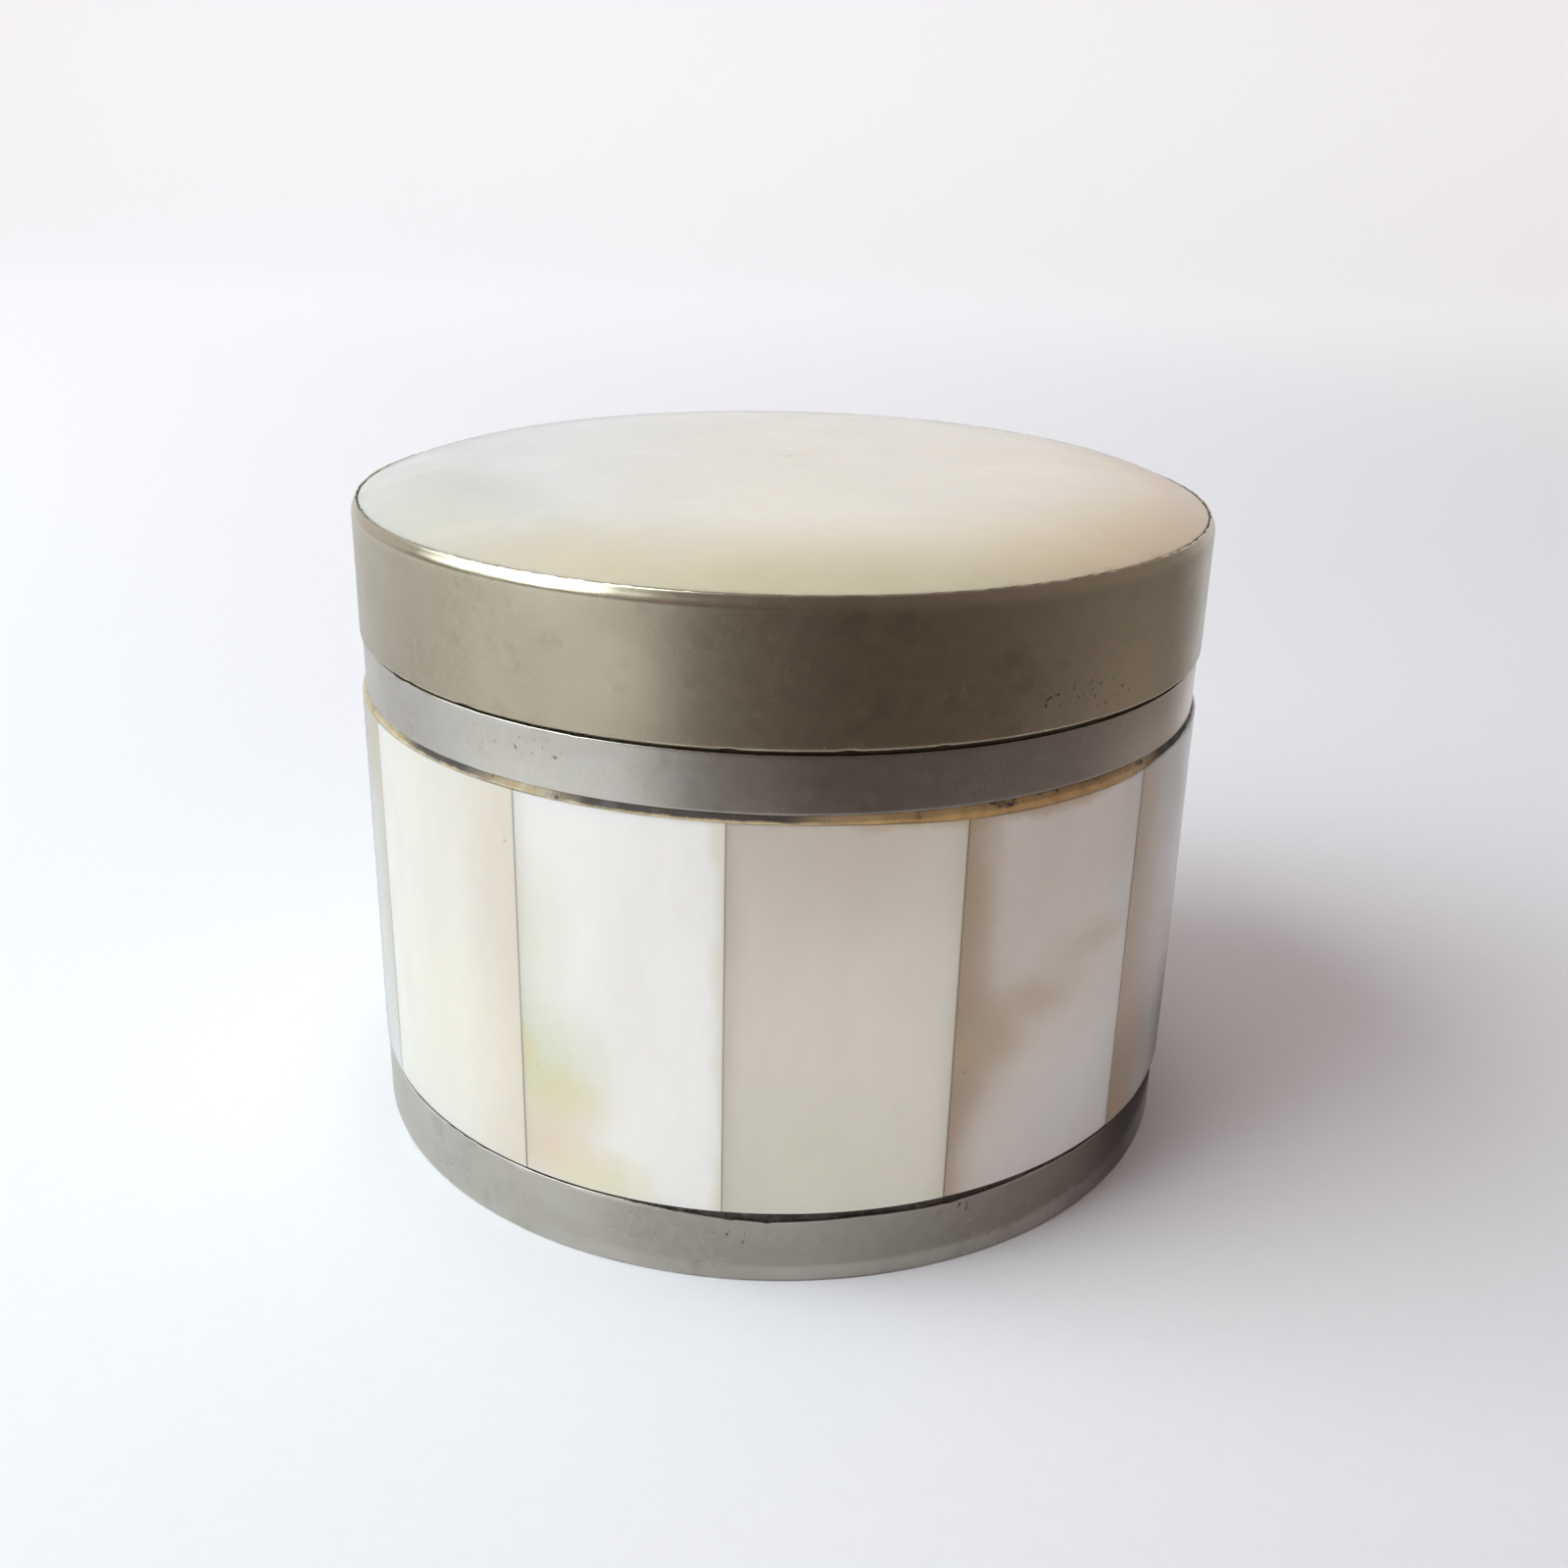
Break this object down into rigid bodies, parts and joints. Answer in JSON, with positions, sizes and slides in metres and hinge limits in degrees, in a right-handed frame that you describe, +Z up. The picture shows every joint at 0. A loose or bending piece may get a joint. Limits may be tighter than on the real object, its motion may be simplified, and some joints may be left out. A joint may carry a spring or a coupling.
{
  "type": "pill box",
  "caption": "Small round pill box: a drum of upright shell staves between two metal bands, closed by a slip lid with a deep metal rim and a domed shell disc.",
  "frame": {"origin": "centre of the underside, on the surface that the box stands on", "axes": "+Z up along the axis of the box and of the lid's travel; -Y is the front as pictured, and +X is to its right"},
  "size_m": [0.0402, 0.0402, 0.0318],
  "materials": {
    "white_metal": "satin",
    "inner_metal": "satin",
    "shell": "gloss",
    "dark_cement": "matte",
    "yellow_cement": "satin"
  },
  "bodies": {
    "box": {"base_plate": "inner_metal", "base_band": "white_metal", "lower_cement": "dark_cement", "liner": "inner_metal", "stave_01": "shell", "stave_02": "shell", "stave_03": "shell", "stave_04": "shell", "stave_05": "shell", "stave_06": "shell", "stave_07": "shell", "stave_08": "shell", "stave_09": "shell", "stave_10": "shell", "stave_11": "shell", "stave_12": "shell", "stave_13": "shell", "upper_cement": "yellow_cement", "upper_band": "white_metal", "collar": "inner_metal"},
    "lid": {"lid_rim": "white_metal", "lid_plate": "inner_metal", "lid_cement": "dark_cement", "lid_pearl": "shell"}
  },
  "joints": [
    {"name": "lid_lift", "type": "slide", "parent": "box", "child": "lid", "axis": [0, 0, 1], "range_m": [0, 0.04]}
  ]
}
